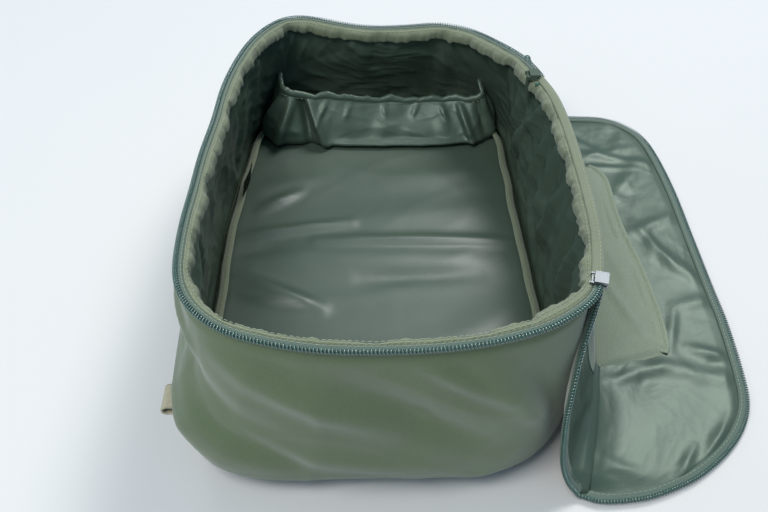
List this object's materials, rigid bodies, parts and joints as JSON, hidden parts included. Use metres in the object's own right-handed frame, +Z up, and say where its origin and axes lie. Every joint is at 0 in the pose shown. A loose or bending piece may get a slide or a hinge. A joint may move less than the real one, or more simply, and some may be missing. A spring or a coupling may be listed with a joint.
{
  "type": "clamshell tackle backpack",
  "caption": "Soft backpack lying on its back with its zipped clamshell lid swung open and folded out on the floor; lined hollow main compartment, inner pouch, mesh lid pocket and straps.",
  "frame": {"origin": "on the floor under the middle of the tub, at the centre of the underside of the spine pad", "axes": "+X towards the hinge side and the opened lid, +Y towards the far end, which is the top of the backpack as it is carried, +Z up"},
  "size_m": [0.5109, 0.5469, 0.1981],
  "materials": {
    "outer_fabric": "matt sage-green coated polyester, fine plain weave",
    "lining": "satin dark grey-green nylon lining",
    "foam": "closed-cell foam sheet, enclosed",
    "binding": "khaki grosgrain tape",
    "zip_tape": "woven grey-green zip tape",
    "zip_coil": "nylon coil, slightly glossy",
    "mesh": "khaki knitted mesh",
    "tan_webbing": "tan polyester webbing",
    "back_mesh": "black spacer mesh over foam",
    "black_webbing": "black polypropylene webbing",
    "black_plastic": "moulded acetal",
    "label": "printed satin label without text",
    "metal": "plated die-cast zinc"
  },
  "bodies": {
    "shell": {"outer_wall": "outer_fabric", "back_cover": "outer_fabric", "back_foam": "foam", "wall_foam": "foam", "floor_lining": "lining", "wall_lining": "lining", "floor_binding": "binding", "rim_binding": "binding", "rim_zip_tape": "zip_tape", "rim_zip_coil": "zip_coil", "hinge_strip": "outer_fabric", "zip_end_stops": "metal", "pouch_front": "lining", "pouch_hem": "lining", "care_label": "label", "handle_anchor": "outer_fabric", "grab_handle": "tan_webbing", "side_loop_left": "tan_webbing", "side_loop_right": "tan_webbing", "spine_pad": "back_mesh", "shoulder_strap_left": "back_mesh", "shoulder_strap_right": "back_mesh", "strap_binding_left": "black_webbing", "strap_binding_right": "black_webbing", "strap_webbing_left": "black_webbing", "strap_webbing_right": "black_webbing", "ladder_lock_left": "black_plastic", "ladder_lock_right": "black_plastic", "strap_anchor_left": "outer_fabric", "strap_anchor_right": "outer_fabric", "near_slider": "metal", "far_slider": "metal"},
    "lid_flank": {"lid_flank_cover": "outer_fabric", "lid_flank_foam": "foam", "lid_flank_lining": "lining", "lid_flank_tape": "binding", "lid_flank_coil": "zip_coil", "mesh_pocket_flank": "mesh"},
    "lid_flap": {"lid_flap_cover": "outer_fabric", "lid_flap_foam": "foam", "lid_flap_lining": "lining", "lid_flap_tape": "binding", "lid_flap_coil": "zip_coil", "mesh_pocket_flap": "mesh", "mesh_pocket_hem": "mesh"},
    "near_puller": {"near_puller": "metal"},
    "far_puller": {"far_puller": "metal"}
  },
  "joints": [
    {"name": "lid_swing", "type": "hinge", "parent": "shell", "child": "lid_flank", "pos_m": [0.163, -0.24935, 0.20337], "axis": [0.0219, -0.9959, 0.0876], "range_deg": [0, 258]},
    {"name": "lid_fold", "type": "hinge", "parent": "lid_flank", "child": "lid_flap", "pos_m": [0.21031, -0.2613, 0.0046], "axis": [-0.0404, 0.9992, 0], "range_deg": [0, 78.2]},
    {"name": "near_puller_flip", "type": "hinge", "parent": "shell", "child": "near_puller", "pos_m": [0.14527, -0.18473, 0.19327], "axis": [0.293, 0.9524, -0.0838], "range_deg": [0, 45]},
    {"name": "far_puller_flip", "type": "hinge", "parent": "shell", "child": "far_puller", "pos_m": [0.14288, 0.10106, 0.16812], "axis": [-0.0219, 0.9959, -0.0876], "range_deg": [0, 45]}
  ],
  "couplings": [
    {"joint": "lid_fold", "follows": "lid_swing", "ratio": 0.30293}
  ]
}
